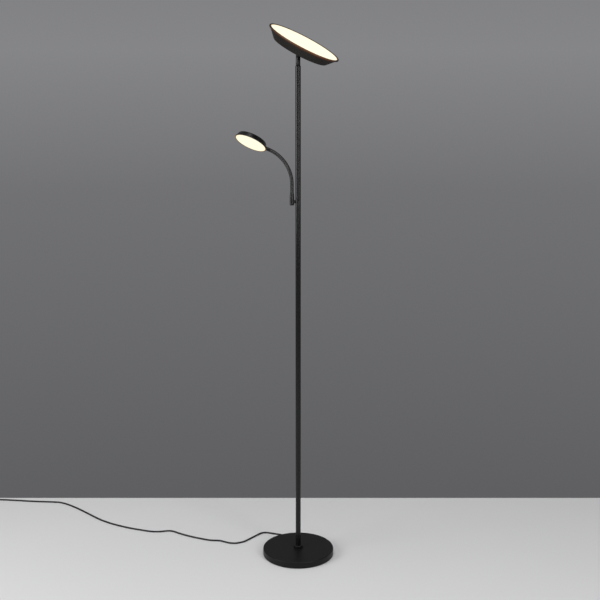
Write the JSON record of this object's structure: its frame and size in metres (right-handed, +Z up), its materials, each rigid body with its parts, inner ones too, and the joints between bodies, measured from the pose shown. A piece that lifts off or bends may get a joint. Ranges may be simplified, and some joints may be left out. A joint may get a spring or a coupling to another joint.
{
  "type": "floor lamp",
  "caption": "Torchiere floor lamp: round weighted base, slim three-section pole, tilting disc uplight and a small disc reading head on a gooseneck arm, with its mains cord and plug",
  "frame": {"origin": "centre of the base's underside, on the pole's axis, on the floor", "axes": "+Z up along the pole, -Y towards the side the lamp is seen from, the reading arm bends towards -X"},
  "size_m": [1.4183, 0.6161, 1.8431],
  "materials": {
    "black_powder_coat": "fine matte powder coat",
    "black_satin_paint": "satin",
    "bowl_black": "satin",
    "gooseneck_black": "satin, ribbed",
    "black_screw": "black oxide",
    "cast_iron": "raw casting",
    "zinc_steel": "zinc plated",
    "bare_aluminium": "mill finish",
    "lamp_board": "white solder mask",
    "driver_case": "matte",
    "lead_white": "matte",
    "foam": "closed-cell foam",
    "black_rubber": "matte",
    "cord_sheath": "satin",
    "plug_black": "fine spark-eroded grain",
    "plug_brass": "nickel plated",
    "lit_diffuser": "opal, lit"
  },
  "bodies": {
    "stand": {"base_pad": "foam", "base_weight": "cast_iron", "base_cover": "black_powder_coat", "base_washer": "zinc_steel", "base_nut": "zinc_steel", "threaded_rod": "zinc_steel", "foot_collar": "black_powder_coat", "cord_gland": "black_rubber", "cord_clamp": "zinc_steel", "clamp_screws": "zinc_steel", "cord_tube": "cord_sheath", "cord_coil": "cord_sheath", "plug_body": "plug_black", "plug_pins": "plug_brass", "pole_foot_insert": "zinc_steel", "pole_lower": "black_satin_paint", "pole_middle": "black_satin_paint", "pole_upper": "black_satin_paint", "pole_joiners": "zinc_steel", "pole_top_insert": "zinc_steel", "supply_lead": "lead_white", "neck": "black_satin_paint", "tilt_bolt": "black_screw", "tilt_nut": "black_screw", "friction_washers": "black_rubber", "arm_spacer": "black_satin_paint", "arm_nipple": "zinc_steel", "arm_nut": "zinc_steel", "arm_socket": "black_satin_paint", "arm_sleeve": "black_satin_paint", "arm_lead": "lead_white", "gooseneck_root": "gooseneck_black"},
    "uplight_head": {"tilt_bracket": "black_satin_paint", "bracket_screws": "black_screw", "head_bowl": "bowl_black", "led_driver": "driver_case", "heat_plate": "bare_aluminium", "led_board": "lamp_board", "head_diffuser": "lit_diffuser", "head_rim": "bowl_black"},
    "arm_link_01": {"gooseneck_link_01": "gooseneck_black"},
    "arm_link_02": {"gooseneck_link_02": "gooseneck_black"},
    "arm_link_03": {"gooseneck_link_03": "gooseneck_black"},
    "arm_link_04": {"gooseneck_link_04": "gooseneck_black"},
    "arm_link_05": {"gooseneck_link_05": "gooseneck_black"},
    "arm_link_06": {"gooseneck_link_06": "gooseneck_black"},
    "arm_link_07": {"gooseneck_link_07": "gooseneck_black"},
    "arm_link_08": {"gooseneck_link_08": "gooseneck_black"},
    "arm_link_09": {"gooseneck_link_09": "gooseneck_black"},
    "arm_link_10": {"gooseneck_link_10": "gooseneck_black"},
    "arm_link_11": {"gooseneck_link_11": "gooseneck_black"},
    "arm_link_12": {"gooseneck_link_12": "gooseneck_black", "reading_stem": "black_satin_paint", "stem_clip": "zinc_steel"},
    "reading_head": {"reading_housing": "black_satin_paint", "reading_board": "lamp_board", "reading_diffuser": "lit_diffuser"}
  },
  "joints": [
    {"name": "uplight_tilt", "type": "hinge", "parent": "stand", "child": "uplight_head", "pos_m": [0, 0, 1.743], "axis": [0.3256, 0.9455, 0], "range_deg": [-28.5, 56.5]},
    {"name": "arm_bend", "type": "hinge", "parent": "stand", "child": "arm_link_01", "pos_m": [-0.0205, 0, 1.2997], "axis": [0, -1, 0], "range_deg": [-5, 10]},
    {"name": "arm_sway", "type": "hinge", "parent": "arm_link_01", "child": "arm_link_02", "pos_m": [-0.0205, 0, 1.31343], "axis": [1, 0, 0], "range_deg": [-6, 6]},
    {"name": "arm_bend_2", "type": "hinge", "parent": "arm_link_02", "child": "arm_link_03", "pos_m": [-0.02058, 0, 1.32717], "axis": [0, -1, 0], "range_deg": [-5, 10]},
    {"name": "arm_sway_2", "type": "hinge", "parent": "arm_link_03", "child": "arm_link_04", "pos_m": [-0.02182, 0, 1.34084], "axis": [0.9894, 0, 0.1451], "range_deg": [-6, 6]},
    {"name": "arm_bend_3", "type": "hinge", "parent": "arm_link_04", "child": "arm_link_05", "pos_m": [-0.02456, 0, 1.35429], "axis": [0, -1, 0], "range_deg": [-5, 10]},
    {"name": "arm_sway_3", "type": "hinge", "parent": "arm_link_05", "child": "arm_link_06", "pos_m": [-0.02875, 0, 1.36736], "axis": [0.934, 0, 0.3573], "range_deg": [-6, 6]},
    {"name": "arm_bend_4", "type": "hinge", "parent": "arm_link_06", "child": "arm_link_07", "pos_m": [-0.03435, 0, 1.37989], "axis": [0, -1, 0], "range_deg": [-5, 10]},
    {"name": "arm_sway_4", "type": "hinge", "parent": "arm_link_07", "child": "arm_link_08", "pos_m": [-0.04129, 0, 1.39174], "axis": [0.8337, 0, 0.5523], "range_deg": [-6, 6]},
    {"name": "arm_bend_5", "type": "hinge", "parent": "arm_link_08", "child": "arm_link_09", "pos_m": [-0.04949, 0, 1.40275], "axis": [0, -1, 0], "range_deg": [-5, 10]},
    {"name": "arm_sway_5", "type": "hinge", "parent": "arm_link_09", "child": "arm_link_10", "pos_m": [-0.05885, 0, 1.41279], "axis": [0.6932, 0, 0.7207], "range_deg": [-6, 6]},
    {"name": "arm_bend_6", "type": "hinge", "parent": "arm_link_10", "child": "arm_link_11", "pos_m": [-0.06925, 0, 1.42175], "axis": [0, -1, 0], "range_deg": [-5, 10]},
    {"name": "arm_sway_6", "type": "hinge", "parent": "arm_link_11", "child": "arm_link_12", "pos_m": [-0.08057, 0, 1.42951], "axis": [0.5194, 0, 0.8545], "range_deg": [-6, 6]},
    {"name": "reading_head_turn", "type": "hinge", "parent": "arm_link_12", "child": "reading_head", "pos_m": [-0.09267, 0, 1.43599], "axis": [-0.9063, 0, 0.4226], "range_deg": [-90, 60]}
  ],
  "couplings": [
    {"joint": "arm_bend_2", "follows": "arm_bend", "ratio": 1},
    {"joint": "arm_sway_2", "follows": "arm_sway", "ratio": 1},
    {"joint": "arm_bend_3", "follows": "arm_bend", "ratio": 1},
    {"joint": "arm_sway_3", "follows": "arm_sway", "ratio": 1},
    {"joint": "arm_bend_4", "follows": "arm_bend", "ratio": 1},
    {"joint": "arm_sway_4", "follows": "arm_sway", "ratio": 1},
    {"joint": "arm_bend_5", "follows": "arm_bend", "ratio": 1},
    {"joint": "arm_sway_5", "follows": "arm_sway", "ratio": 1},
    {"joint": "arm_bend_6", "follows": "arm_bend", "ratio": 1},
    {"joint": "arm_sway_6", "follows": "arm_sway", "ratio": 1}
  ]
}
